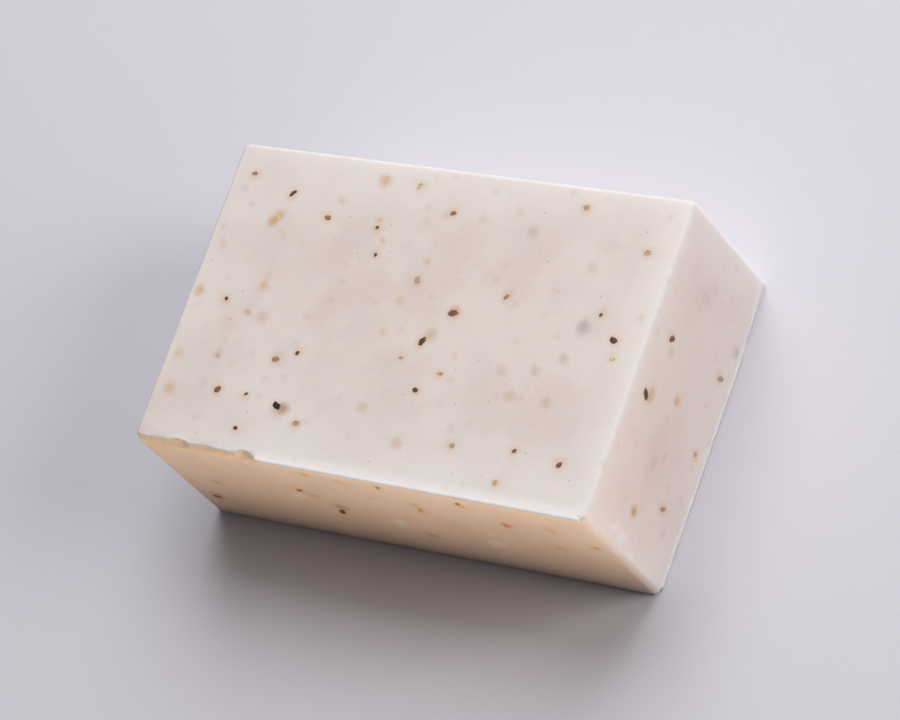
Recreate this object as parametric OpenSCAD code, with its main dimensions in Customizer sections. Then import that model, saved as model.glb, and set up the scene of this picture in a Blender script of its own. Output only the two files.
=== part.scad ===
// A bar of soap with herb flecks, sliced by hand from a larger poured block.
// It lies on one cut face and shows the other. X runs along the bar, Y across it from the
// side that lay on the mould's floor, here the underside, to the side that was the top of
// the pour, and Z up from the cut face that it rests on.

/* [Bar] */
// Length of the bar, which was the width of the mould
bar_length = 80; // [64:0.5:100]
// Width of the bar at its right end, which was the depth of the pour there
bar_width = 52.6; // [42:0.2:66]
// How much narrower the left end is, because the top of the pour was not level
width_drop = 1.6; // [0:0.1:4]
// Thickness of the slice
bar_thickness = 29; // [22:0.5:40]

/* [Edges] */
// Radius of the four edges that the mould and the pour formed
mould_edge_radius = 1.1; // [0.6:0.1:2.5]
// Radius of the edges round the upper cut face
upper_edge_radius = 0.7; // [0.4:0.1:1.5]
// Radius of the edges round the lower cut face
lower_edge_radius = 0.4; // [0.2:0.1:1]

/* [Lips that the wire left] */
// Thickness of a rolled lip of soap along a cut edge
lip_thickness = 0.8; // [0.5:0.1:1.2]
// How far a lip stands out from its side
lip_stand = 0.25; // [0.1:0.05:0.35]
// How far the lip of the underside also rises above the upper cut face
lip_rise = 0.15; // [0:0.05:0.3]
// Distance from a lip's two ends to the ends of its edge
lip_end_gap = 1.4; // [1.2:0.2:6]

/* [Bites in the upper edge of the underside] */
// Radius of the ball shape of the largest bite
bite_radius = 4.4; // [3:0.2:6]
// How deep the largest bite reaches in from the edge
bite_depth = 1.1; // [0.5:0.05:1.4]

/* [Chip at the far lower corner of the right end] */
// Length of the chip along the lower edge of the right end
chip_run = 11; // [6:0.5:15]
// Height of the chip on the right end
chip_height = 2.3; // [1:0.1:3.5]
// Width of the chip on the lower cut face
chip_width = 0.4; // [0.3:0.1:2]

/* [Bubbles and nicks] */
// Radius of the ball shape of an air bubble that opened in the underside
bubble_radius = 0.9; // [0.6:0.1:1.4]
// Depth of an open bubble's pit
bubble_depth = 0.45; // [0.2:0.05:0.6]
// Radius of the ball shape of a nick in the right end
nick_radius = 1.4; // [0.8:0.1:2]
// Depth of a nick
nick_depth = 0.3; // [0.15:0.05:0.4]

/* [Herb flecks] */
// Radius of the ball shape of a herb fleck
fleck_radius = 0.9; // [0.5:0.1:1.4]
// How far a fleck stands out of the soap
fleck_stand = 0.1; // [0.05:0.01:0.2]
// Number of flecks on each side that is seldom seen
spread_count = 9; // [4:1:16]
// Room that these flecks leave to the edges of their side
spread_margin = 5; // [3:0.5:8]

/* [Hidden] */
$fn = 64;
soap_colour = [0.86, 0.81, 0.77];
herb_colour = [0.38, 0.25, 0.15];
half_length = bar_length / 2;
half_width = bar_width / 2;
// Height of the middle of the underside's lip
underside_lip_height = bar_thickness + lip_rise - lip_thickness / 2;
// Turn of the pour's top against the underside
drop_angle = atan2(width_drop, bar_length);
// Length of a shape that only cuts, so that it passes the whole bar
cut_length = 2 * bar_length + 2 * bar_width;
// Corners of the slice, as the upper cut face shows them
section = [
    [-half_length, -half_width],
    [half_length, -half_width],
    [half_length, half_width],
    [-half_length, half_width - width_drop]
];

// Flecks on the upper cut face: percent of its length, percent of its width, relative size
upper_flecks = [
    [28, 18, 1.2], [58, 54, 1.1], [54, 44, 1.2], [93, 54, 1.1], [37, 68, 0.7], [15, 83, 0.8],
    [9, 47, 0.9], [29, 34, 0.9], [14, 19, 1], [21, 9, 0.8], [56, 29, 1], [81, 17, 0.8],
    [91, 15, 0.9], [89, 61, 0.7], [68, 62, 0.8], [5, 87, 0.8], [13, 75, 1.1], [24, 77, 0.9],
    [51, 84, 0.9], [36, 76, 0.7], [24, 31, 1], [21, 19, 0.7], [60, 36, 0.8], [79, 7, 0.7],
    [94, 82, 0.9], [42, 91, 0.9]
];
// Flecks on the right end: percent of the bar's width, percent of its thickness, relative size
right_flecks = [
    [62, 76, 1], [43, 84, 1.2], [65, 15, 1], [49, 51, 0.8], [75, 9, 0.8], [14, 55, 0.9], [21, 27, 0.9]
];
// Flecks on the underside: percent of the bar's length, percent of its thickness, relative size
underside_flecks = [
    [71, 90, 1], [59, 68, 0.9], [78, 69, 1.1], [96, 60, 0.9], [37, 41, 1.2], [5, 26, 1], [31, 63, 0.9]
];
// Bites in the upper edge of the underside: percent of the bar's length, relative radius, relative depth
bites = [[3.4, 0.8, 0.5], [9.9, 1, 1], [16.3, 1, 0.47], [20.2, 1, 0.47], [25.2, 0.6, 1]];
// Open bubbles on the underside: percent of the bar's length, percent of its thickness, relative size
bubbles = [[70, 34, 1.2], [50, 40, 1], [68, 5, 0.8], [30, 54, 0.7]];
// Nicks on the right end: percent of the bar's width, percent of its thickness, relative size
nicks = [[6, 68, 0.8], [5, 58, 1], [3, 43, 0.7]];

// Size of a small mark against a full one
small_mark = 0.8;
golden_ratio = (sqrt(5) - 1) / 2;

// Place along a range that runs from low to high, for a part from 0 to 1 and for one in percent
function between(low, high, part) = low + (high - low) * part;
function share(low, high, percent) = between(low, high, percent / 100);

// Place of the pour's top above a point of the bar's length
function top_at(x) = half_width - width_drop * (half_length - x) / bar_length;

// What a number has after its point
function fraction(number) = number - floor(number);

// Centre of the arc that rounds a corner
function arc_centre(before, corner, after, radius) =
    let (
        back = (before - corner) / norm(before - corner),
        on = (after - corner) / norm(after - corner),
        half_angle = acos(back * on) / 2
    )
    corner + (back + on) / norm(back + on) * radius / sin(half_angle);

// Point of a side where the arc round its corner ends
function arc_end(corner, other, centre) =
    let (along = (other - corner) / norm(other - corner))
    corner + along * ((centre - corner) * along);

// Four-sided outline with a radius for each corner
module round_outline(corners, radii) {
    count = len(corners);
    centres = [for (i = [0 : count - 1])
        arc_centre(corners[(i + count - 1) % count], corners[i], corners[(i + 1) % count], radii[i])];
    polygon([for (i = [0 : count - 1]) each [
        arc_end(corners[i], corners[(i + count - 1) % count], centres[i]),
        arc_end(corners[i], corners[(i + 1) % count], centres[i])
    ]]);
    for (i = [0 : count - 1]) translate(centres[i]) circle(r = radii[i]);
}

// Slab with one side at Y = 0, whose lower and upper edges are eased along X
module eased_slab() {
    rotate([90, 0, 90]) linear_extrude(cut_length, center = true) round_outline(
        [[0, 0], [cut_length, 0], [cut_length, bar_thickness], [0, bar_thickness]],
        [lower_edge_radius, lower_edge_radius, upper_edge_radius, upper_edge_radius]
    );
}

// The slice, with every edge eased
module block() {
    intersection() {
        linear_extrude(bar_thickness)
            round_outline(section, [for (corner = section) mould_edge_radius]);
        translate([0, -half_width, 0]) eased_slab();
        translate([half_length, half_width, 0]) rotate([0, 0, 180 + drop_angle]) eased_slab();
        translate([half_length, 0, 0]) rotate([0, 0, 90]) eased_slab();
        translate([-half_length, 0, 0]) rotate([0, 0, -90]) eased_slab();
    }
}

// Rolled lip along X, which stands out of a side at Y = 0 towards -Y
module rolled_lip(run) {
    translate([0, lip_thickness / 2 - lip_stand, 0]) {
        rotate([0, 90, 0]) cylinder(d = lip_thickness, h = run, center = true);
        for (side = [-1, 1]) translate([side * run / 2, 0, 0]) sphere(d = lip_thickness);
    }
}

// The lip between the upper cut face and the underside
module underside_lip() {
    translate([0, -half_width, underside_lip_height])
        rolled_lip(bar_length - 2 * lip_end_gap);
}

// The lip between the lower cut face and the right end, which stops at the chip
module right_end_lip() {
    run = bar_width - chip_run - lip_end_gap;
    translate([half_length, lip_end_gap - half_width + run / 2, lip_thickness / 2])
        rotate([0, 0, 90]) rolled_lip(run);
}

// Ball that cuts a pit of the given depth in a side at Y = 0, from the -Y side
module pit(radius, depth) {
    translate([0, depth - radius, 0]) sphere(r = radius);
}

// Bites that crumbled out of the upper edge of the underside, and out of its lip with it
module edge_bites() {
    for (place = bites) {
        x = share(-half_length, half_length, place.x);
        translate([x, -half_width, bar_thickness])
            rotate([-45, 0, 0]) pit(bite_radius * place.y, bite_depth * place.z);
    }
}

// Everything beyond the flat face of the chip, which meets the bar at that corner alone
module chip() {
    outward = [1 / chip_width, 1 / chip_run, -1 / chip_height];
    translate([half_length - chip_width, half_width, 0])
        rotate([0, acos(outward.z / norm(outward)), atan2(outward.y, outward.x)])
            translate([0, 0, cut_length / 2]) cube(cut_length, center = true);
}

module open_bubbles() {
    for (place = bubbles) {
        x = share(-half_length, half_length, place.x);
        translate([x, -half_width, share(0, bar_thickness, place.y)])
            pit(bubble_radius * place.z, bubble_depth * place.z);
    }
}

module end_nicks() {
    for (place = nicks) {
        y = share(-half_width, half_width, place.x);
        translate([half_length, y, share(0, bar_thickness, place.y)])
            rotate([0, 0, 90]) pit(nick_radius * place.z, nick_depth * place.z);
    }
}

// Herb fleck in a side at Y = 0, which stands out towards -Y
module fleck(size) {
    translate([0, (fleck_radius - fleck_stand) * size, 0]) sphere(r = fleck_radius * size);
}

module herb_flecks() {
    for (place = upper_flecks) {
        x = share(-half_length, half_length, place.x);
        translate([x, share(-half_width, top_at(x), place.y), bar_thickness])
            rotate([-90, 0, 0]) fleck(place.z);
    }
    for (place = right_flecks) {
        y = share(-half_width, half_width, place.x);
        translate([half_length, y, share(0, bar_thickness, place.y)])
            rotate([0, 0, 90]) fleck(place.z);
    }
    for (place = underside_flecks) {
        x = share(-half_length, half_length, place.x);
        translate([x, -half_width, share(0, bar_thickness, place.y)]) fleck(place.z);
    }
    for (i = [0 : spread_count - 1]) {
        long_way = i / (spread_count - 1);
        short_way = fraction(i * golden_ratio);
        size = i % 2 == 0 ? 1 : small_mark;
        x = between(spread_margin - half_length, half_length - spread_margin, long_way);
        y = between(spread_margin - half_width, half_width - width_drop - spread_margin, long_way);
        z = between(spread_margin, bar_thickness - spread_margin, short_way);
        translate([x, top_at(x), z]) rotate([0, 0, 180 + drop_angle]) fleck(size);
        translate([-half_length, y, z]) rotate([0, 0, -90]) fleck(size);
    }
}

module soap_bar() {
    union() {
        color(soap_colour) difference() {
            union() {
                block();
                underside_lip();
                right_end_lip();
            }
            edge_bites();
            chip();
            open_bubbles();
            end_nicks();
        }
        color(herb_colour) herb_flecks();
    }
}

soap_bar();
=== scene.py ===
# A bar of soap with herb flecks, sliced by hand from a larger poured block. It lies on one cut face.
# X runs along the bar, Y from the underside to the top of the pour, Z up out of the other cut face.
import math
import random

import bpy
import numpy as np
from mathutils import Matrix, Vector, noise


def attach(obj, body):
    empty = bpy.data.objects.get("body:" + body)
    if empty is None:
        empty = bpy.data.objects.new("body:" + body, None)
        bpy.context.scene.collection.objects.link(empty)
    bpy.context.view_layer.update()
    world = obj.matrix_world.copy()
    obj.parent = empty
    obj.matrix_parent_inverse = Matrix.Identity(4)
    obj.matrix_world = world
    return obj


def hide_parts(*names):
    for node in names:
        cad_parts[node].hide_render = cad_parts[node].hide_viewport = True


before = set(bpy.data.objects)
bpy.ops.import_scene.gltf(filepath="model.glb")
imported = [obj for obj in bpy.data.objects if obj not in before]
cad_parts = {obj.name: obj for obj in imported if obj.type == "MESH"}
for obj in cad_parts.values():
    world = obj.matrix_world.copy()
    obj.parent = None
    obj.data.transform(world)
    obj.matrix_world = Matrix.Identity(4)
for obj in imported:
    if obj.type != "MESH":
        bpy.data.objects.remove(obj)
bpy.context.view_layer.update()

MM = 0.001

# The bar, as its construction has it
LENGTH = 80 * MM
WIDTH = 52.6 * MM
WIDTH_DROP = 1.6 * MM
THICKNESS = 29 * MM
MOULD_EDGE = 1.1 * MM
UPPER_EDGE = 0.7 * MM
LOWER_EDGE = 0.4 * MM
HALF_LENGTH = LENGTH / 2
HALF_WIDTH = WIDTH / 2

# The lips that the wire left, the bites in one of them, and the chip at a corner
LIP = 0.8 * MM
LIP_STAND = 0.25 * MM
LIP_RISE = 0.15 * MM
LIP_END_GAP = 1.4 * MM
BITE_RADIUS = 4.4 * MM
BITE_DEPTH = 1.1 * MM
CHIP_RUN = 11 * MM
CHIP_HEIGHT = 2.3 * MM
CHIP_WIDTH = 0.4 * MM
BUBBLE_RADIUS = 0.9 * MM
BUBBLE_DEPTH = 0.45 * MM
NICK_RADIUS = 1.4 * MM
NICK_DEPTH = 0.3 * MM

# Bites in the upper edge of the underside: share of the length, relative radius, relative depth
BITES = [(0.034, 0.8, 0.5), (0.099, 1, 1), (0.163, 1, 0.47), (0.202, 1, 0.47), (0.252, 0.6, 1)]
# Open bubbles in the underside: share of the length, share of the thickness, relative size
BUBBLES = [(0.70, 0.34, 1.2), (0.50, 0.40, 1), (0.68, 0.05, 0.8), (0.30, 0.54, 0.7)]
# Nicks in the right end: share of the width, share of the thickness, relative size
NICKS = [(0.06, 0.68, 0.8), (0.05, 0.58, 1), (0.03, 0.43, 0.7)]

# The left part of the underside's upper edge is torn: where the tear ends and how fast, how far
# it is set back at most, how wide its slope is, and how much it sinks for each bit of set-back
TEAR_END = -17.8 * MM
TEAR_FADE = 1 * MM
TEAR = 0.6 * MM
TEAR_WIDTH = 1.3 * MM
TEAR_SINK = 0.3
# How far from a lip's middle the upper cut face starts to rise to it
LIP_ROOT = 1.8 * MM
# Half the width of the white line where soap broke, and of the painted highlight along the chip's edges
CREASE = 0.28 * MM
# The chip's flat: a point of it, and the way it faces
CHIP_CORNER = (HALF_LENGTH - CHIP_WIDTH, HALF_WIDTH, 0)
CHIP_NORMAL = Vector((1 / CHIP_WIDTH, 1 / CHIP_RUN, -1 / CHIP_HEIGHT)).normalized()

# For each side: the axis it faces along, its place on it, and the two axes that run along it
SIDES = {
    "upper": (2, THICKNESS, 0, 1),
    "lower": (2, 0, 0, 1),
    "right": (0, HALF_LENGTH, 1, 2),
    "left": (0, -HALF_LENGTH, 1, 2),
    "under": (1, -HALF_WIDTH, 0, 2),
    "top": (1, HALF_WIDTH, 0, 2),
}
# Herb flecks on the sides: place in millimetres, length, width, turn in degrees, tone
FLECKS = {
    "upper": [
        (-17.3, -17.1, 1.6, 1.15, -28, "black"), (6.6, 2.3, 1.8, 1.1, 5, "brown"),
        (3.2, -3.0, 1.7, 1.0, 70, "dark"), (34.5, 2.2, 1.5, 1.0, -25, "dark"),
        (-10.0, 9.5, 0.8, 0.6, 100, "dark"), (-28.1, 17.4, 1.6, 0.7, 50, "dark"),
        (-32.8, -1.4, 0.8, 0.7, 120, "dark"), (-17.1, -8.2, 0.9, 0.7, 70, "dark"),
        (-28.4, -16.2, 1.4, 1.0, 50, "brown"), (-22.9, -21.8, 0.9, 0.7, 0, "dark"),
        (5.0, -10.8, 1.0, 0.9, -30, "dark"), (24.8, -17.5, 0.9, 0.7, 40, "brown"),
        (32.8, -18.4, 1.2, 0.9, 60, "brown"), (31.0, 5.8, 0.8, 0.6, 80, "brown"),
        (14.5, 6.2, 1.1, 0.7, 60, "rust"), (-36.1, 19.7, 1.1, 0.7, 10, "rust"),
        (-29.4, 13.0, 1.7, 1.0, 55, "amber"), (-20.5, 14.3, 1.3, 0.9, 0, "rust"),
        (0.6, 18.2, 1.2, 0.8, 20, "rust"), (-11.4, 14.0, 0.7, 0.6, 0, "brown"),
        (-20.4, -9.8, 1.4, 1.1, 10, "rust"), (-23.2, -16.1, 0.8, 0.5, 30, "brown"),
        (8.2, -7.6, 1.0, 0.7, 0, "amber"), (35.4, -0.7, 0.9, 0.7, 0, "amber"),
        (23.6, -22.9, 1.1, 0.9, -30, "amber"), (35.0, 16.7, 1.2, 0.9, 25, "tan"),
        (-6.7, 21.8, 1.2, 0.8, 70, "amber"), (-12.9, -19.3, 1.2, 1.0, 0, "tan"),
        (-1.3, 6.6, 1.4, 1.0, 90, "tan"), (14.4, -18.4, 1.0, 0.9, 0, "amber"),
        (22.4, 22.4, 1.2, 0.9, 0, "tan"), (0.7, -6.1, 0.9, 0.6, 0, "amber"),
    ],
    "right": [
        (6.4, 22.2, 1.8, 1.1, 120, "brown"), (-3.6, 24.2, 2.0, 1.3, 60, "dark"),
        (8.0, 4.2, 2.0, 0.9, 110, "tan"), (-0.5, 14.7, 1.5, 1.0, 100, "faint"),
        (-19.1, 16.0, 1.5, 1.2, 90, "faint"), (-15.2, 7.8, 1.8, 0.8, 110, "tan"),
        (-4.5, 3.9, 1.2, 0.8, 90, "grey"),
    ],
    "under": [
        (16.9, 26.0, 1.5, 0.9, 60, "rust"), (7.3, 19.6, 2.2, 0.9, 70, "faint"),
        (22.5, 19.9, 1.9, 1.0, 60, "blush"), (36.8, 17.4, 1.2, 0.8, 10, "amber"),
        (-10.5, 11.8, 2.4, 1.1, 65, "brown"), (-35.9, 7.5, 1.6, 1.0, 0, "brown"),
        (-15.0, 18.3, 1.6, 0.9, 40, "rust"), (-10.0, 26.2, 1.6, 0.8, 20, "faint"),
        (3.2, 26.6, 1.6, 0.9, 60, "faint"),
    ],
}
# Flecks below the surface, which show as soft spots: place, diameter, strength, tone
SUNK = {
    "upper": [
        (28.8, 3.4, 3.2, 1.2, "grey"), (27.4, -2.0, 2.4, 1.1, "smoke"), (-38.0, -0.8, 2.6, 1.5, "amber"),
        (-27.2, 1.6, 2.2, 1.4, "amber"), (-0.9, 9.8, 2.0, 1.1, "amber"), (18.1, -5.5, 2.0, 1.2, "tan"),
        (23.6, -4.6, 2.0, 1.4, "smoke"), (20.9, -9.2, 2.8, 1.1, "tan"), (27.2, -9.2, 2.4, 1.2, "tan"),
        (5.0, -19.6, 2.6, 1.2, "tan"), (-2.8, -14.9, 2.4, 1.0, "amber"), (-19.1, 17.6, 1.8, 0.9, "amber"),
        (-30.7, -10.7, 1.6, 1.1, "brown"), (-13.0, 21.8, 3.0, 1.4, "rust"), (-25.4, -3.5, 3.0, 1.0, "tan"),
        (-36.8, -17.3, 3.0, 1.2, "amber"), (-37.6, -11.6, 2.4, 1.0, "amber"), (15.0, 17.1, 3.0, 0.9, "tan"),
        (-28.3, -3.0, 1.7, 1.5, "rust"), (26.9, 12.9, 2.6, 0.8, "tan"), (-3.0, 2.8, 2.2, 0.7, "amber"),
        (-3.9, -2.6, 2.0, 1.0, "amber"), (-9.8, 11.9, 1.6, 1.3, "amber"), (-11.5, 15.3, 1.6, 1.0, "amber"),
        (37.6, 6.2, 1.6, 1.1, "tan"), (-37.2, 7.4, 1.6, 1.1, "amber"), (-14.2, 7.4, 1.4, 0.6, "amber"),
        (-16.0, -17.3, 2.8, 0.9, "dark"), (-16.7, -18.0, 3.4, 0.8, "tan"), (4.3, -1.7, 3.2, 0.6, "brown"),
        (6.8, 2.6, 3.0, 1.2, "rust"), (-31.0, -5.5, 5.0, 0.35, "rust"), (-28.9, 13.7, 2.3, 1.0, "amber"),
        (-29.8, 12.3, 2.5, 1.0, "amber"),
    ],
    "right": [
        (4.6, 21.2, 2.4, 0.9, "tan"), (-3.0, 22.6, 3.2, 1.3, "amber"), (-19.0, 16.0, 2.8, 0.9, "tan"),
        (13.4, 2.2, 2.6, 1.0, "grey"), (15.8, 17.0, 3.0, 0.6, "tan"), (-11.0, 15.0, 2.4, 0.4, "grey"),
        (8.0, 5.0, 2.6, 0.4, "amber"), (-15.2, 8.4, 2.6, 0.3, "amber"), (0.0, 14.7, 2.4, 0.3, "amber"),
    ],
    "under": [
        (7.0, 21.5, 3.0, 1.0, "amber"), (-9.6, 14.0, 3.4, 1.0, "brown"), (-35.5, 8.0, 4.0, 0.8, "brown"),
        (31.0, 22.0, 3.0, 0.8, "rust"), (-32.0, 14.5, 3.2, 0.7, "brown"), (22.8, 20.4, 3.0, 1.1, "rust"),
        (29.4, 14.0, 3.4, 0.7, "rust"), (-13.0, 17.0, 2.8, 0.9, "amber"), (4.0, 8.5, 3.2, 0.7, "brown"),
        (17.0, 25.0, 2.6, 1.0, "amber"), (-4.0, 25.5, 3.2, 0.8, "amber"),
    ],
}
# Flecks on the left end and the top side, which the construction spreads by rule
SPREAD_COUNT = 9
SPREAD_MARGIN = 5 * MM
# How far a fleck stands out of the soap
FLECK_STAND = 0.05 * MM

# Linear colours
SOAP_TONE = (0.715, 0.640, 0.602)
SOAP_TONE_DEEP = (0.665, 0.572, 0.530)
# Painted light: a paler tone for the rims and the bites, standing in for light that glows through the
# translucent soap there
SOAP_TONE_GLOW = (0.790, 0.750, 0.735)
SOAP_TONE_GREY = (0.640, 0.568, 0.556)
# Painted light inside the tear and the bites, standing in for warm light thrown into their shade; and white
# where the soap is rubbed and broken, with painted highlight on its rims
PAINTED_TEAR_LIGHT_TONE = (0.880, 0.770, 0.650)
WHITE_AND_HIGHLIGHT_TONE = (0.800, 0.810, 0.840)
HERB_TONES = {
    "black": (0.014, 0.009, 0.007),
    "dark": (0.110, 0.056, 0.030),
    "brown": (0.170, 0.090, 0.048),
    "rust": (0.360, 0.200, 0.105),
    "amber": (0.540, 0.395, 0.230),
    "tan": (0.460, 0.330, 0.230),
    "grey": (0.450, 0.385, 0.350),
    "faint": (0.580, 0.430, 0.290),
    "blush": (0.520, 0.330, 0.260),
}
# Share of red, green and blue light that a fleck below the surface takes away
STAINS = {
    "grey": (0.30, 0.29, 0.25),
    "smoke": (0.18, 0.24, 0.28),
    "tan": (0.12, 0.22, 0.30),
    "amber": (0.10, 0.22, 0.40),
    "rust": (0.10, 0.28, 0.42),
    "brown": (0.28, 0.42, 0.56),
    "dark": (0.45, 0.55, 0.65),
}
# The same for what bleeds out of a fleck into the soap round it, and how many millimetres it bleeds
BLEED = (0.04, 0.15, 0.28)
BLEED_REACH = 1.0
SPECK_TONE = (0.45, 0.25, 0.14)
DUST_TONE_DARK = (0.12, 0.06, 0.03)
DUST_TONE_LIGHT = (0.45, 0.24, 0.10)
FLOOR_TONE = (0.640, 0.635, 0.700)
# Painted shade: a dark warm floor tone before the underside, which only bounced light sees, so that the
# underside's lower part is darker and warmer, as if more soap lay there
PAINTED_UNDER_SHADE_TONE = (0.420, 0.190, 0.060)
# What the camera sees far off, where the floor fades into the room
FAR_TONE = (0.640, 0.630, 0.710)
# The room's walls, before the underside and behind the pour's top
DIM_WALL = (0.015, 0.008, 0.003)
BRIGHT_WALL = (0.36, 0.36, 0.37)


def pour_top(x):
    """Y of the pour's top at a place along the bar."""
    return HALF_WIDTH - WIDTH_DROP * (HALF_LENGTH - x) / LENGTH


# Shader nodes


def feed(tree, socket, value):
    """Links a socket to another, or gives it a plain value."""
    if isinstance(value, bpy.types.NodeSocket):
        tree.links.new(value, socket)
    else:
        socket.default_value = value


def maths(tree, operation, *values):
    """Adds a Math node; each value may be a socket or a number. Gives its result socket."""
    node = tree.nodes.new("ShaderNodeMath")
    node.operation = operation
    for socket, value in zip(node.inputs, values):
        feed(tree, socket, value)
    return node.outputs["Value"]


def mix_colour(tree, factor, first, second, blend="MIX"):
    """Adds a colour mix; each of the three may be a socket or a value. Gives its result socket."""
    mix = tree.nodes.new("ShaderNodeMix")
    mix.data_type = "RGBA"
    mix.blend_type = blend
    feed(tree, mix.inputs["Factor"], factor)
    for name, value in (("A", first), ("B", second)):
        feed(tree, next(each for each in mix.inputs if each.name == name and each.type == "RGBA"), value)
    return next(each for each in mix.outputs if each.type == "RGBA")


def mix_shader(tree, factor, first, second):
    """Adds a mix of two shaders. Gives its result socket."""
    mix = tree.nodes.new("ShaderNodeMixShader")
    for socket, value in zip(mix.inputs, (factor, first, second)):
        feed(tree, socket, value)
    return mix.outputs["Shader"]


def map_range(tree, value, low, high, to_low=0, to_high=1):
    """Adds a smooth change from one value to another. Gives its result socket."""
    node = tree.nodes.new("ShaderNodeMapRange")
    node.interpolation_type = "SMOOTHSTEP"
    node.inputs["From Min"].default_value = low
    node.inputs["To Min"].default_value = to_low
    node.inputs["To Max"].default_value = to_high
    feed(tree, node.inputs["From Max"], high)
    feed(tree, node.inputs["Value"], value)
    return node.outputs["Result"]


def noise_node(tree, where, scale, detail):
    """Adds a noise pattern, with so many waves a metre. Gives its result socket."""
    texture = tree.nodes.new("ShaderNodeTexNoise")
    texture.inputs["Scale"].default_value = scale
    texture.inputs["Detail"].default_value = detail
    feed(tree, texture.inputs["Vector"], where)
    return texture.outputs["Fac"]


def point_colour(tree, name):
    """Adds a reader of a colour that the mesh carries at its points. Gives the node."""
    node = tree.nodes.new("ShaderNodeAttribute")
    node.attribute_name = name
    return node


def seen_ray(tree):
    """Adds a test for rays by which the camera sees a thing: straight, mirrored or through glass."""
    path = tree.nodes.new("ShaderNodeLightPath").outputs
    either = maths(tree, "MAXIMUM", path["Is Camera Ray"], path["Is Glossy Ray"])
    return maths(tree, "MAXIMUM", either, path["Is Transmission Ray"])


# Camera, floor and light


def place_camera():
    """Looks at the bar's middle as the photograph does, which turns the camera about its own axis."""
    azimuth = math.radians(60.0)
    elevation = math.radians(54.4)
    roll = math.radians(-44.9)
    distance = 825 * MM
    aim = Vector((0, 0, THICKNESS / 2))
    back = Vector((
        math.sin(azimuth) * math.cos(elevation),
        -math.cos(azimuth) * math.cos(elevation),
        math.sin(elevation),
    ))
    level_right = back.cross(Vector((0, 0, -1))).normalized()
    level_up = back.cross(level_right)
    right = level_right * math.cos(roll) + level_up * math.sin(roll)
    up = back.cross(right)
    turn = Matrix((right, up, back)).transposed().to_4x4()
    bpy.ops.object.camera_add()
    camera = bpy.context.object
    camera.name = "camera"
    camera.matrix_world = Matrix.Translation(aim + back * distance) @ turn
    camera.data.sensor_width = 36
    camera.data.lens = 216
    camera.data.clip_start = 0.05
    camera.data.clip_end = 20
    bpy.context.scene.camera = camera


def soft_lamp(name, direction, distance, size, power, colour):
    """A square lamp that faces the bar's middle."""
    middle = Vector((0, 0, THICKNESS / 2))
    away = Vector(direction).normalized()
    bpy.ops.object.light_add(type="AREA", location=middle + away * distance)
    lamp = bpy.context.object
    lamp.name = name
    lamp.rotation_mode = "QUATERNION"
    lamp.rotation_quaternion = away.to_track_quat("Z", "Y")
    lamp.data.shape = "SQUARE"
    lamp.data.size = size
    lamp.data.energy = power
    lamp.data.color = colour


def reflector_card():
    """A warm card that lies on the floor before the underside and throws light up at it."""
    long = 220 * MM
    wide = 120 * MM
    gap = 40 * MM
    to_the_right = 35 * MM
    above_floor = 0.1 * MM
    place = (to_the_right, -HALF_WIDTH - gap - wide / 2, above_floor)
    bpy.ops.object.light_add(type="AREA", location=place)
    card = bpy.context.object
    card.name = "reflector_card"
    card.rotation_euler = (math.pi, 0, 0)
    card.data.shape = "RECTANGLE"
    card.data.size = long
    card.data.size_y = wide
    card.data.energy = 0.34
    card.data.color = (1.0, 0.81, 0.61)
    card.visible_camera = False
    card.visible_glossy = False


def paint_the_walls():
    """The room's dim light, which turns from the dim wall to the bright one across the bar."""
    world = bpy.data.worlds.new("room")
    bpy.context.scene.world = world
    world.use_nodes = True
    tree = world.node_tree
    tree.nodes.clear()
    turn = 0.6
    parts = tree.nodes.new("ShaderNodeSeparateXYZ")
    feed(tree, parts.inputs["Vector"], tree.nodes.new("ShaderNodeTexCoord").outputs["Generated"])
    walls = tree.nodes.new("ShaderNodeMapRange")
    walls.inputs["From Min"].default_value = -turn
    walls.inputs["From Max"].default_value = turn
    feed(tree, walls.inputs["Value"], parts.outputs["Y"])
    tone = mix_colour(tree, walls.outputs["Result"], (*DIM_WALL, 1), (*BRIGHT_WALL, 1))
    glow = tree.nodes.new("ShaderNodeBackground")
    feed(tree, glow.inputs["Color"], tone)
    seen = tree.nodes.new("ShaderNodeBackground")
    seen.inputs["Color"].default_value = (*FAR_TONE, 1)
    mixed = mix_shader(tree, seen_ray(tree), glow.outputs["Background"], seen.outputs["Background"])
    feed(tree, tree.nodes.new("ShaderNodeOutputWorld").inputs["Surface"], mixed)


def light_the_room():
    """Soft light from the pour's top side and from the right, a warm card below, and dim walls."""
    away = 0.9
    white = (1.0, 1.0, 1.0)
    warm = (1.0, 0.925, 0.875)
    soft_lamp("main_lamp", direction=(-0.05, 0.60, 0.80), distance=away, size=0.7, power=6.9, colour=white)
    soft_lamp("right_lamp", direction=(0.85, 0.22, 0.52), distance=away, size=0.4, power=3.8, colour=warm)
    reflector_card()
    paint_the_walls()


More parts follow.
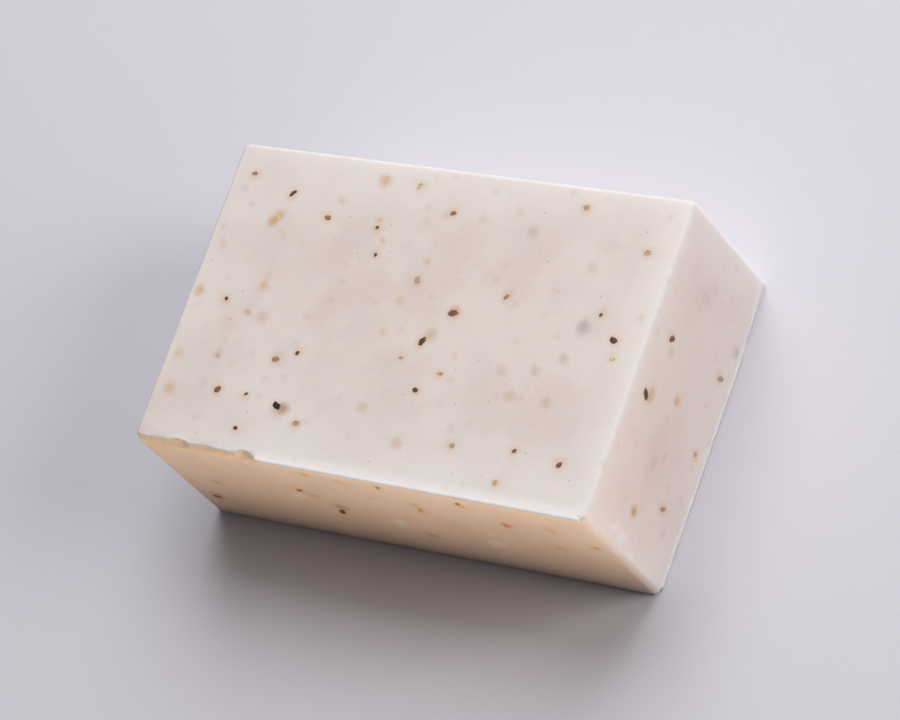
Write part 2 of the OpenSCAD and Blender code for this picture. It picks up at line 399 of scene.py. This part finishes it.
def lay_the_floor():
    """A pale floor, which takes the room's colour far from the bar, where the lamps don't reach, and bounces
    painted shade up at the underside.
    """
    just_below = -0.01 * MM
    bpy.ops.mesh.primitive_plane_add(size=12, location=(0, 0, just_below))
    floor = bpy.context.object
    floor.name = "floor"
    bpy.ops.object.transform_apply(location=True, rotation=True, scale=True)
    paint = bpy.data.materials.new("pale_floor")
    paint.use_nodes = True
    tree = paint.node_tree
    shader = tree.nodes["Principled BSDF"]
    shader.inputs["Roughness"].default_value = 0.85
    shader.inputs["Specular IOR Level"].default_value = 0.2
    where = tree.nodes.new("ShaderNodeTexCoord").outputs["Object"]
    seen = seen_ray(tree)

    # Painted shade: only light that bounces sees the dark warm tone before the underside, which darkens and
    # warms the underside
    parts = tree.nodes.new("ShaderNodeSeparateXYZ")
    feed(tree, parts.inputs["Vector"], where)
    behind = map_range(tree, parts.outputs["Y"], low=-45 * MM, high=-20 * MM)
    plain = maths(tree, "MAXIMUM", behind, seen)
    feed(tree, shader.inputs["Base Color"], mix_colour(tree, plain, (*PAINTED_UNDER_SHADE_TONE, 1), (*FLOOR_TONE, 1)))

    from_bar = tree.nodes.new("ShaderNodeVectorMath")
    from_bar.operation = "LENGTH"
    feed(tree, from_bar.inputs[0], where)
    far = map_range(tree, from_bar.outputs["Value"], low=160 * MM, high=600 * MM)
    faded = maths(tree, "MULTIPLY", far, seen)
    room = tree.nodes.new("ShaderNodeEmission")
    room.inputs["Color"].default_value = (*FAR_TONE, 1)
    mixed = mix_shader(tree, faded, shader.outputs["BSDF"], room.outputs["Emission"])
    feed(tree, tree.nodes["Material Output"].inputs["Surface"], mixed)
    floor.data.materials.append(paint)


# Shapes


def read(items, name, width):
    """One value or vector of every vertex, edge or face of a mesh, as an array."""
    whole = name == "vertices"
    values = np.empty(len(items) * width, dtype=np.int32 if whole else np.float32)
    items.foreach_get(name, values)
    return values.reshape(-1, width).astype(int if whole else float)


def pick(thing, kind, test):
    """In edit mode, selects the items that pass a test on arrays of places.

    The test gets the places of the vertices, of the edges' two ends, or of the faces' centres.
    """
    bpy.ops.object.mode_set(mode="EDIT")
    bpy.ops.mesh.select_mode(type={"vertices": "VERT", "edges": "EDGE", "faces": "FACE"}[kind])
    bpy.ops.mesh.select_all(action="DESELECT")
    bpy.ops.object.mode_set(mode="OBJECT")
    mesh = thing.data
    if kind == "vertices":
        items = mesh.vertices
        chosen = test(read(items, "co", 3))
    elif kind == "edges":
        items = mesh.edges
        places = read(mesh.vertices, "co", 3)
        ends = read(items, "vertices", 2)
        chosen = test(places[ends[:, 0]], places[ends[:, 1]])
    else:
        items = mesh.polygons
        chosen = test(read(items, "center", 3))
    items.foreach_set("select", chosen)
    bpy.ops.object.mode_set(mode="EDIT")


def on_level(start, end, z):
    """Which edges lie in a level plane."""
    room = 0.01 * MM
    return (abs(start[:, 2] - z) < room) & (abs(end[:, 2] - z) < room)


def lip_strips(place, reach):
    """Which places are near one of the two edges that have a lip."""
    x, y, z = place.T
    underside = (y < reach - HALF_WIDTH) & (z > THICKNESS - reach)
    right_end = (x > HALF_LENGTH - reach) & (z < reach)
    return underside | right_end


def soap_block():
    """The slice with its eased edges, as a mesh that is finer beside the edges."""
    bpy.ops.object.select_all(action="DESELECT")
    size = (LENGTH, WIDTH, THICKNESS)
    bpy.ops.mesh.primitive_cube_add(size=1, location=(0, 0, THICKNESS / 2), scale=size)
    bar = bpy.context.object
    bar.name = "soap"
    bpy.ops.object.transform_apply(location=True, rotation=True, scale=True)

    pick(bar, "vertices", lambda place: (place[:, 0] < 0) & (place[:, 1] > 0))
    bpy.ops.transform.translate(value=(0, -WIDTH_DROP, 0))
    pick(bar, "edges", lambda a, b: abs(a - b)[:, 2] > THICKNESS / 2)
    bpy.ops.mesh.bevel(offset=MOULD_EDGE, segments=6)
    pick(bar, "edges", lambda a, b: on_level(a, b, THICKNESS))
    bpy.ops.mesh.bevel(offset=UPPER_EDGE, segments=6)
    pick(bar, "edges", lambda a, b: on_level(a, b, 0))
    bpy.ops.mesh.bevel(offset=LOWER_EDGE, segments=4)

    # Planes beside the edges bound the strips that get a finer mesh
    strip = 2.2 * MM
    planes = [
        ((HALF_LENGTH - strip, 0, 0), (1, 0, 0)),
        ((strip - HALF_LENGTH, 0, 0), (1, 0, 0)),
        ((0, HALF_WIDTH - WIDTH_DROP / 2 - strip, 0), (-WIDTH_DROP, LENGTH, 0)),
        ((0, strip - HALF_WIDTH, 0), (0, 1, 0)),
        ((0, 0, strip), (0, 0, 1)),
        ((0, 0, THICKNESS - strip), (0, 0, 1)),
    ]
    for place, normal in planes:
        bpy.ops.mesh.select_all(action="SELECT")
        bpy.ops.mesh.bisect(plane_co=place, plane_no=normal)

    spacing = 0.8 * MM
    for axis, length in enumerate(size):
        cuts = round((length - 2 * strip) / spacing) - 1
        pick(bar, "edges", lambda a, b: abs(a - b)[:, axis] > length - 4 * strip)
        bpy.ops.mesh.subdivide(number_cuts=cuts)
    longest = 1 * MM
    pick(bar, "edges", lambda a, b: np.linalg.norm(a - b, axis=1) > longest)
    bpy.ops.mesh.subdivide(number_cuts=7)

    # The lips need short faces along their edges too
    reach = 1.3 * MM
    pick(bar, "faces", lambda place: lip_strips(place, reach))
    bpy.ops.mesh.subdivide(number_cuts=2, ngon=False)
    bpy.ops.mesh.select_all(action="SELECT")
    bpy.ops.mesh.bisect(plane_co=CHIP_CORNER, plane_no=CHIP_NORMAL)
    bpy.ops.object.mode_set(mode="OBJECT")
    return bar


def uneven(places, grain, shift):
    """Smooth noise from -1 to 1 at each place."""
    offset = Vector((shift, 2.7 * shift, -1.3 * shift))
    return np.array([noise.noise(Vector(place) / grain + offset) for place in places])


def ramp(value, start, end):
    """Goes straight from 0 at the start to 1 at the end, which may lie below the start."""
    return np.clip((value - start) / (end - start), 0, 1)


def bell(offset, width):
    """Falls smoothly from 1 at no offset, to either side."""
    return np.exp(-(offset / width) ** 2)


def fade_out(distance, length):
    """Falls from 1 at no distance, and never rises past it."""
    return np.exp(-np.clip(distance, 0, None) / length)


def away_from_line(places, start, end):
    """The way to each place from the nearest point of a straight line between two points."""
    run = end - start
    share = np.clip((places - start) @ run / (run @ run), 0, 1)
    return places - (start + share[:, None] * run)


def push_out(places, away, radius):
    """Moves each place that is nearer than a radius out to it.

    The ways to the places start at a ball's centre or a rod's line. The radius may differ for each.
    """
    distance = np.linalg.norm(away, axis=1)
    inside = distance < radius
    places[inside] += (away / distance[:, None] * (radius - distance)[:, None])[inside]


def roll_out(places, core, centre, radius):
    """Moves places out along rays from a core line, both lines along X, to the far side of a rod.

    The lines are given by their Y and Z. The rod's radius may differ for each place.
    """
    thinnest = 0.05 * MM
    away = places[:, 1:] - core
    distance = np.linalg.norm(away, axis=1)
    ray = away / distance[:, None]
    offset = np.array(centre) - core
    along = ray @ offset
    reach = along ** 2 - offset @ offset + radius ** 2
    far = along + np.sqrt(np.clip(reach, 0, None))
    near_core = distance < 2 * np.linalg.norm(offset)
    out = (reach > 0) & (radius > thinnest) & (far > distance) & near_core
    places[out, 1:] = core + ray[out] * far[out, None]


def bite_ball(along, radius_size, depth_size):
    """Centre and radius of the ball that a bite is cut with, outside the underside's upper edge."""
    radius = BITE_RADIUS * radius_size
    outside = (radius - BITE_DEPTH * depth_size) / math.sqrt(2)
    return np.array([LENGTH * along - HALF_LENGTH, -HALF_WIDTH - outside, THICKNESS + outside]), radius


def torn_share(x):
    """How torn the underside's upper edge is at a place along the bar, from 0 to 1."""
    return ramp(x, TEAR_END, TEAR_END - TEAR_FADE)


def swell(places, normals):
    """Gives the faces and, more so, the rims the slight unevenness of soap cut by hand."""
    sink = 0.06 * MM
    long_wave = 0.05 * MM * uneven(places, grain=14 * MM, shift=3.1)
    short_wave = 0.018 * MM * uneven(places, grain=4 * MM, shift=7.7)
    places += normals * (long_wave + short_wave - sink)[:, None]
    long_wave = 0.09 * MM * uneven(places, grain=5 * MM, shift=1.9)
    short_wave = 0.05 * MM * uneven(places, grain=1.6 * MM, shift=5.3)
    slant = 1 - np.max(np.abs(normals), axis=1)
    on_rim = np.clip(4 * slant, 0, 1)
    places += normals * ((long_wave + short_wave - sink) * on_rim)[:, None]


def crumble_the_tear(places):
    """Sets the torn part of the underside's upper edge back, in places more than in others."""
    torn = torn_share(places[:, 0])
    mostly_along = places * (1, 0.2, 0.2)
    long_wave = uneven(mostly_along, grain=2.6 * MM, shift=6.1)
    short_wave = uneven(places, grain=1.1 * MM, shift=2.2)
    wave = np.clip(0.7 * long_wave + 0.3 * short_wave + 0.35, 0, 1)
    from_edge = (places[:, 1] + HALF_WIDTH) + (THICKNESS - places[:, 2])
    crumbled = TEAR * torn * (0.4 + 0.8 * wave) * bell(from_edge, TEAR_WIDTH)
    places[:, 1] += crumbled
    places[:, 2] -= TEAR_SINK * crumbled


def roll_the_lips(places):
    """Rolls the wire's lips out of the underside's upper edge and the right end's lower edge."""
    torn = torn_share(places[:, 0])
    roll = LIP / 2
    ragged = (1 - torn) * (1 - 0.2 * np.clip(uneven(places, grain=3 * MM, shift=4.4), 0, 1))
    lip_y = -HALF_WIDTH + roll - LIP_STAND
    lip_z = THICKNESS + LIP_RISE - roll
    core = np.array([UPPER_EDGE - HALF_WIDTH, THICKNESS - UPPER_EDGE])
    straight = HALF_LENGTH - LIP_END_GAP
    end = ramp(abs(places[:, 0]), start=straight + roll, end=straight)
    round_end = np.sqrt(end * (2 - end))
    roll_out(places, core, (lip_y, lip_z), 0.99 * roll * ragged * round_end)

    # The upper cut face runs out to the top of that lip in a smooth rise
    just_below = 0.02 * MM
    rim = 1.2 * MM
    nearness = ramp(places[:, 1], start=lip_y + LIP_ROOT, end=lip_y)
    crest = THICKNESS + LIP_RISE + roll * (ragged - 1) - just_below
    smooth = nearness ** 2 * (3 - 2 * nearness)
    lift = np.clip(crest - places[:, 2], 0, None) * smooth * (1 - torn)
    beside_lip = abs(places[:, 0]) < straight
    risen = (nearness < 1) & (places[:, 2] > THICKNESS - rim) & beside_lip
    places[risen, 2] += lift[risen]

    # The right end's lip is a plain rod, which stops at the chip
    lip_x = HALF_LENGTH - roll + LIP_STAND
    start = np.array([lip_x, LIP_END_GAP - HALF_WIDTH, roll])
    finish = np.array([lip_x, HALF_WIDTH - CHIP_RUN, roll])
    thinned = 1 - 0.15 * np.clip(uneven(places, grain=4 * MM, shift=9.1), 0, 1)
    push_out(places, away_from_line(places, start, finish), roll * thinned)


def cut_the_pits(places):
    """Cuts the bites, the open bubbles and the nicks."""
    for bite in BITES:
        centre, radius = bite_ball(*bite)
        fine = uneven(places, grain=0.7 * MM, shift=8.3)
        coarse = uneven(places, grain=2.3 * MM, shift=3.6)
        push_out(places, places - centre, radius * (1 + 0.028 * fine + 0.07 * coarse))
    for along, up, size in BUBBLES:
        radius = BUBBLE_RADIUS * size
        centre = (LENGTH * along - HALF_LENGTH, BUBBLE_DEPTH * size - radius - HALF_WIDTH, THICKNESS * up)
        push_out(places, places - centre, radius)
    for along, up, size in NICKS:
        radius = NICK_RADIUS * size
        centre = (HALF_LENGTH + radius - NICK_DEPTH * size, WIDTH * along - HALF_WIDTH, THICKNESS * up)
        push_out(places, places - centre, radius)


def work_the_surface(bar):
    """Shapes the plain slice: its unevenness, tear, lips, pits, chip and flat lower face."""
    mesh = bar.data
    places = read(mesh.vertices, "co", 3)
    normals = read(mesh.vertices, "normal", 3)
    lower = places[:, 2] < 0.02 * MM
    swell(places, normals)
    crumble_the_tear(places)
    roll_the_lips(places)
    cut_the_pits(places)
    outward = np.array(CHIP_NORMAL)
    over = (places - np.array(CHIP_CORNER)) @ outward
    places -= np.clip(over, 0, None)[:, None] * outward
    places[lower, 2] = 0
    places[:, 2] = np.clip(places[:, 2], 0, None)
    mesh.vertices.foreach_set("co", places.astype(np.float32).ravel())
    mesh.update()


# Herb flecks, which are marks in the soap's own surface


def spread_flecks():
    """Flecks on the sides that the photograph doesn't show: as the construction has them, or at random."""
    dice = random.Random(27)
    tones = ["dark", "brown", "brown", "rust", "rust", "tan", "amber"]

    def form():
        long = dice.uniform(0.8, 1.6)
        return long, long * dice.uniform(0.55, 0.9), dice.uniform(0, 180), dice.choice(tones)

    golden = (math.sqrt(5) - 1) / 2
    found = {"top": [], "left": [], "lower": []}
    for index in range(SPREAD_COUNT):
        long_way = index / (SPREAD_COUNT - 1)
        short_way = index * golden % 1
        x = SPREAD_MARGIN - HALF_LENGTH + (LENGTH - 2 * SPREAD_MARGIN) * long_way
        y = SPREAD_MARGIN - HALF_WIDTH + (WIDTH - WIDTH_DROP - 2 * SPREAD_MARGIN) * long_way
        z = SPREAD_MARGIN + (THICKNESS - 2 * SPREAD_MARGIN) * short_way
        found["top"].append((x / MM, z / MM, *form()))
        found["left"].append((y / MM, z / MM, *form()))
    lower_count = 22
    half_x = 36
    half_y = 22
    for _ in range(lower_count):
        x = dice.uniform(-half_x, half_x)
        y = dice.uniform(-half_y, half_y)
        found["lower"].append((x, y, *form()))
    return found


def sunk_spots():
    """Soft spots on the sides that the photograph doesn't show."""
    dice = random.Random(5)
    found = {}
    for side, count, half_u, low_v, high_v in (
        ("top", 26, 37, 3, 26), ("left", 18, 22, 3, 26), ("lower", 34, 37, -22, 22),
    ):
        found[side] = []
        for _ in range(count):
            u = dice.uniform(-half_u, half_u)
            v = dice.uniform(low_v, high_v)
            tone = dice.choice(["tan", "tan", "amber", "rust", "grey"])
            found[side].append((u, v, dice.uniform(1.6, 3.0), dice.uniform(0.3, 0.7), tone))
    return found


def steps_to(side, places, u, v, long, wide, turn):
    """How many of its own radii each place on a side is away from an oval's middle."""
    across, position, first, second = SIDES[side]
    depth = 2 * MM
    far_away = 99
    along_u = places[:, first] - u * MM
    along_v = places[:, second] - v * MM
    turn = math.radians(turn)
    along = (along_u * math.cos(turn) + along_v * math.sin(turn)) / (long * MM / 2)
    aside = (along_v * math.cos(turn) - along_u * math.sin(turn)) / (wide * MM / 2)
    return np.where(abs(places[:, across] - position) < depth, np.hypot(along, aside), far_away)


def fleck_faces(places, flecks):
    """Which faces a fleck or its halo touches."""
    chosen = np.zeros(len(places), dtype=bool)
    growth = 1.4
    margin = 1.1
    for side, marks in flecks.items():
        for u, v, long, *_ in marks:
            size = long * growth + margin
            chosen |= steps_to(side, places, u, v, size, size, 0) < 1
    return chosen


def soft_edge(steps):
    """How strong an oval spot is at a number of its radii from its middle."""
    return np.clip(1 - steps ** 2, 0, 1) ** 1.5


def stains_and_herbs(places, flecks, spots):
    """For each point: what stains leave of the light, the nearest fleck's tone and nearness, and its rise."""
    count = len(places)
    strongest = 0.9
    most_shift = 0.25
    reach = 2 * BLEED_REACH
    stain_and_shade = np.ones((count, 3))
    herb = np.zeros((count, 4))
    herb[:, :3] = HERB_TONES["brown"]
    rise = np.zeros(count)
    dice = random.Random(3)
    for side, marks in spots.items():
        for u, v, size, strength, tone in marks:
            share = soft_edge(steps_to(side, places, u, v, size, size, 0)) * strength
            stain_and_shade *= 1 - np.clip(share[:, None] * STAINS[tone], 0, strongest)
    for side, marks in flecks.items():
        for u, v, long, wide, turn, tone in marks:
            steps = steps_to(side, places, u, v, long, wide, turn)
            closeness = ramp(steps, start=2, end=0)
            shift_u = dice.uniform(-most_shift, most_shift)
            shift_v = dice.uniform(-most_shift, most_shift)
            halo = steps_to(side, places, u + shift_u, v + shift_v, long + reach, wide + reach, turn)
            stain_and_shade *= 1 - (soft_edge(halo) * dice.uniform(0.7, 1.2))[:, None] * BLEED
            nearer = closeness > herb[:, 3]
            herb[nearer, :3] = np.array(HERB_TONES[tone]) * dice.uniform(0.85, 1.2)
            herb[nearer, 3] = closeness[nearer]
            if side != "lower":
                rise = np.maximum(rise, FLECK_STAND * ramp(steps, start=1.2, end=0.6))
    return stain_and_shade, herb, rise


def lamp_side_rims(normals):
    """How far each point turns over the upper cut face's rim towards the lamps."""
    lowest = 0.2
    turned = np.clip(1.5 * np.maximum(normals[:, 0], normals[:, 1]), 0, 1)
    return turned * (normals[:, 2] > lowest)


def edge_masks(places, normals):
    """How much painted glow, how much white of rubbed soap and painted highlight, and how much painted light
    in the tear each point gets.
    """
    x, y, z = places.T
    from_under = HALF_WIDTH + y
    below = THICKNESS - z
    # Painted light: the soap is painted paler beside its edges and along the lips, standing in for light
    # glowing through its translucent rims; farther in from the underside and less far at the left end
    under_share = 1.5
    gaps = [HALF_LENGTH - x, HALF_LENGTH + x, pour_top(x) - y, from_under / under_share, z, below]
    to_edge = np.sort(np.array(gaps), axis=0)[1]
    lips = lip_strips(places, reach=0.7 * MM)
    pale = 0.86 * fade_out(to_edge, length=5.5 * MM)
    pale *= 1 - 0.8 * fade_out(HALF_LENGTH + x, length=6 * MM)
    pale += 0.3 * lips

    # White along the rims, the lips and the rims turned to the lamps: painted highlight, with some rubbed
    # soap along the rims
    fine = 0.6 * uneven(places, grain=1.1 * MM, shift=6.6)
    coarse = 0.3 * uneven(places, grain=5 * MM, shift=2.9)
    patchiness = np.clip(0.75 + fine + coarse, 0, 1)
    whites_and_highlights = [
        0.6 * fade_out(to_edge, length=0.5 * MM) * patchiness,
        0.7 * lips * patchiness,
        0.9 * lamp_side_rims(normals) * patchiness,
    ]
    # Painted glow: white by the two upright edges of the right end, standing in for light that gathers in the
    # soap there
    for y_edge, strength in ((-HALF_WIDTH, 0.7), (HALF_WIDTH, 0.5)):
        from_edge = np.hypot(HALF_LENGTH - x, y - y_edge)
        whites_and_highlights.append(strength * fade_out(from_edge, length=2.5 * MM))

    # The tear and the bites: a white line along the upper side, and inside them painted light, a lighter and
    # warmer tone that stands in for warm light thrown into their shade
    torn = torn_share(x)
    line_place = 1.1 * MM
    on_top = below < 0.25 * MM
    near_under = from_under < 1.5 * MM
    whites_and_highlights.append(0.7 * torn * bell(from_under - line_place, width=0.4 * MM) * on_top * patchiness)
    tear_top = ramp(below, start=0.22 * MM, end=0.37 * MM)
    tear_foot = ramp(below, start=2.6 * MM, end=1.2 * MM)
    painted_tear_light = torn * tear_top * tear_foot * near_under
    bite_top = ramp(below, start=0.1 * MM, end=0.25 * MM)
    bite_rim = ramp(below, start=0.6 * MM, end=0.2 * MM)
    for bite in BITES:
        centre, radius = bite_ball(*bite)
        beyond = np.linalg.norm(places - centre, axis=1) - radius
        inside = ramp(beyond / radius, start=0.10, end=0.07)
        painted_tear_light = np.maximum(painted_tear_light, inside * bite_top)
        # Painted light: the bites' scooped surfaces and rims are painted pale as well
        pale = np.maximum(pale, bell(beyond, width=2 * CREASE))
        whites_and_highlights.append(0.7 * bell(beyond - CREASE, width=CREASE) * bite_rim)

    # White lines along the chip's three edges: broken soap with painted highlight
    chip_up = (HALF_LENGTH, HALF_WIDTH, CHIP_HEIGHT)
    chip_along = (HALF_LENGTH, HALF_WIDTH - CHIP_RUN, 0)
    chipped = np.array([chip_up, chip_along, CHIP_CORNER])
    for start, finish in zip(chipped, np.roll(chipped, -1, axis=0)):
        from_edge = np.linalg.norm(away_from_line(places, start, finish), axis=1)
        whites_and_highlights.append(bell(from_edge, width=CREASE))

    # Whitish ovals with ragged outlines round the open bubbles and the nicks
    long = 4.2
    wide = 2.4
    whitest = 0.85
    for side, length, marks, turn in (("under", LENGTH, BUBBLES, 35), ("right", WIDTH, NICKS, 100)):
        for along, up, size in marks:
            u = (length * along - length / 2) / MM
            v = THICKNESS * up / MM
            steps = steps_to(side, places, u, v, long * size, wide * size, turn)
            ragged = steps + 0.35 * uneven(places, grain=1.2 * MM, shift=4.9)
            whites_and_highlights.append(np.clip(1.8 * (1 - ragged), 0, whitest))
    return pale, np.maximum.reduce(whites_and_highlights), painted_tear_light


def paint_the_points(bar, flecks, spots):
    """Raises the flecks, and writes to the mesh's points the colours that the material reads."""
    mesh = bar.data
    places = read(mesh.vertices, "co", 3)
    normals = read(mesh.vertices, "normal", 3)
    stain_and_shade, herb, rise = stains_and_herbs(places, flecks, spots)
    places += normals * rise[:, None]
    mesh.vertices.foreach_set("co", places.astype(np.float32).ravel())
    # Painted shade: the rims on the lamps' side are darkened, so that their painted white highlight is whiter
    # than the faces but no lighter
    stain_and_shade *= 1 - 0.15 * lamp_side_rims(normals)[:, None]
    opaque = np.ones(len(places))
    masks = zip(("pale", "white_and_highlight", "painted_tear_light"), edge_masks(places, normals))
    layers = [("stain_and_shade", np.c_[stain_and_shade, opaque]), ("herb", herb)]
    layers += [(name, np.c_[mask, mask, mask, opaque]) for name, mask in masks]
    for name, values in layers:
        layer = mesh.color_attributes.new(name, "FLOAT_COLOR", "POINT")
        layer.data.foreach_set("color", values.astype(np.float32).ravel())
    mesh.update()


# The soap's material


def speck_group():
    """Node group: a mask of small round specks strewn through the soap, of which a share is left out."""
    group = bpy.data.node_groups.new("strewn_specks", "ShaderNodeTree")
    group.interface.new_socket("Place", in_out="INPUT", socket_type="NodeSocketVector")
    for name in ("Cells a metre", "Radius", "Left out"):
        group.interface.new_socket(name, in_out="INPUT", socket_type="NodeSocketFloat")
    for name in ("Mask", "Chance"):
        group.interface.new_socket(name, in_out="OUTPUT", socket_type="NodeSocketFloat")
    inside = group.nodes.new("NodeGroupInput")
    outside = group.nodes.new("NodeGroupOutput")
    cells = group.nodes.new("ShaderNodeTexVoronoi")
    cells.inputs["Randomness"].default_value = 1
    feed(group, cells.inputs["Vector"], inside.outputs["Place"])
    feed(group, cells.inputs["Scale"], inside.outputs["Cells a metre"])
    edge = map_range(group, cells.outputs["Distance"], 0, inside.outputs["Radius"], to_low=1, to_high=0)
    chance = group.nodes.new("ShaderNodeSeparateColor")
    feed(group, chance.inputs["Color"], cells.outputs["Color"])
    kept = maths(group, "GREATER_THAN", chance.outputs["Red"], inside.outputs["Left out"])
    feed(group, outside.inputs["Mask"], maths(group, "MULTIPLY", edge, kept))
    feed(group, outside.inputs["Chance"], chance.outputs["Green"])
    return group


def specks(tree, group, where, cells, radius, left_out):
    """Places the group of specks in the material. Gives its output sockets."""
    node = tree.nodes.new("ShaderNodeGroup")
    node.node_tree = group
    feed(tree, node.inputs["Place"], where)
    node.inputs["Cells a metre"].default_value = cells
    node.inputs["Radius"].default_value = radius
    node.inputs["Left out"].default_value = left_out
    return node.outputs


def soap_tones(tree, where):
    """The soap without its flecks: clouds and veils, the painted glow, the white of rubbed soap and painted
    highlights, the painted light in the tear, and the stains with a little painted shade.
    """
    clouds = map_range(tree, noise_node(tree, where, scale=85, detail=3), low=0.32, high=0.62)
    tone = mix_colour(tree, clouds, (*SOAP_TONE_DEEP, 1), (*SOAP_TONE, 1))
    veils = map_range(tree, noise_node(tree, where, scale=150, detail=2), low=0.50, high=0.75, to_high=0.5)
    tone = mix_colour(tree, veils, tone, (*SOAP_TONE_GREY, 1))
    # Painted glow by the rims, white of rubbed soap and painted highlight, and painted light in the tear and
    # bites
    for name, colour in (("pale", SOAP_TONE_GLOW), ("white_and_highlight", WHITE_AND_HIGHLIGHT_TONE), ("painted_tear_light", PAINTED_TEAR_LIGHT_TONE)):
        tone = mix_colour(tree, point_colour(tree, name).outputs["Fac"], tone, (*colour, 1))
    # The stains, with painted shade on the rims that face the lamps
    return mix_colour(tree, 1, tone, point_colour(tree, "stain_and_shade").outputs["Color"], "MULTIPLY")


def add_specks(tree, where, tone):
    """Adds faint specks and fine dust to the soap's colour."""
    group = speck_group()
    faint_strength = 0.16
    faint = specks(tree, group, where, cells=300, radius=0.33, left_out=0.5)
    faint_mask = maths(tree, "MULTIPLY", faint["Mask"], faint_strength)
    tone = mix_colour(tree, faint_mask, tone, (*SPECK_TONE, 1))
    dust = specks(tree, group, where, cells=560, radius=0.10, left_out=0.62)
    dust_mask = map_range(tree, dust["Mask"], low=0.2, high=0.6, to_high=0.75)
    dust_tone = mix_colour(tree, dust["Chance"], (*DUST_TONE_DARK, 1), (*DUST_TONE_LIGHT, 1))
    return mix_colour(tree, dust_mask, tone, dust_tone)


def add_herbs(tree, where, tone):
    """Adds the herb flecks, with ragged outlines and an uneven tone."""
    herb = point_colour(tree, "herb")
    fraying = 0.5
    ragged = noise_node(tree, where, scale=1900, detail=4)
    frayed = maths(tree, "MULTIPLY_ADD", ragged, fraying, herb.outputs["Alpha"])
    herb_mask = map_range(tree, frayed, low=0.70, high=0.86)
    patchy = noise_node(tree, where, scale=3400, detail=2)
    shade = tree.nodes.new("ShaderNodeVectorMath")
    shade.operation = "SCALE"
    feed(tree, shade.inputs["Vector"], herb.outputs["Color"])
    feed(tree, shade.inputs["Scale"], map_range(tree, patchy, low=0.3, high=0.7, to_low=0.65, to_high=1.25))
    return mix_colour(tree, herb_mask, tone, shade.outputs["Vector"])


def drag_lines(tree, where):
    """Bump of the soap's fine grain and of the faint lines that the wire drew across the cut faces."""
    # The lines run along Y, so places are squeezed that way before they meet the noise
    squeeze = (1, 0.06, 0.3)
    line_strength = 1.5
    squeezed = tree.nodes.new("ShaderNodeVectorMath")
    squeezed.operation = "MULTIPLY"
    feed(tree, squeezed.inputs[0], where)
    feed(tree, squeezed.inputs[1], squeeze)
    grain = noise_node(tree, where, scale=900, detail=3)
    lines = noise_node(tree, squeezed.outputs["Vector"], scale=700, detail=2)
    bump = tree.nodes.new("ShaderNodeBump")
    bump.inputs["Strength"].default_value = 0.14
    bump.inputs["Distance"].default_value = 0.2 * MM
    feed(tree, bump.inputs["Height"], maths(tree, "MULTIPLY_ADD", lines, line_strength, grain))
    return bump.outputs["Normal"]


def speckled_soap():
    """Satin, slightly translucent soap with herb flecks and fine specks."""
    paint = bpy.data.materials.new("speckled_soap")
    paint.use_nodes = True
    tree = paint.node_tree
    shader = tree.nodes["Principled BSDF"]
    where = tree.nodes.new("ShaderNodeTexCoord").outputs["Object"]
    tone = add_herbs(tree, where, add_specks(tree, where, soap_tones(tree, where)))
    feed(tree, shader.inputs["Base Color"], tone)
    feed(tree, shader.inputs["Normal"], drag_lines(tree, where))
    shader.inputs["Roughness"].default_value = 0.5
    shader.inputs["IOR"].default_value = 1.45
    shader.inputs["Specular IOR Level"].default_value = 0.22
    shader.inputs["Subsurface Weight"].default_value = 0.35
    shader.inputs["Subsurface Radius"].default_value = (1.0, 0.62, 0.42)
    shader.inputs["Subsurface Scale"].default_value = 1.8 * MM
    return paint


bpy.context.scene.view_settings.view_transform = "Standard"
place_camera()
light_the_room()
lay_the_floor()

flecks = {**FLECKS, **spread_flecks()}
spots = {**SUNK, **sunk_spots()}
bar = soap_block()
pick(bar, "faces", lambda place: fleck_faces(place, flecks))
bpy.ops.mesh.subdivide(number_cuts=4, ngon=False)
bpy.ops.object.mode_set(mode="OBJECT")
work_the_surface(bar)
paint_the_points(bar, flecks, spots)
bpy.ops.object.select_all(action="DESELECT")
bar.select_set(True)
bpy.context.view_layer.objects.active = bar
bpy.ops.object.shade_smooth_by_angle(angle=math.radians(40))
bar.data.materials.append(speckled_soap())
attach(bar, "root")
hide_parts("soap_bar")
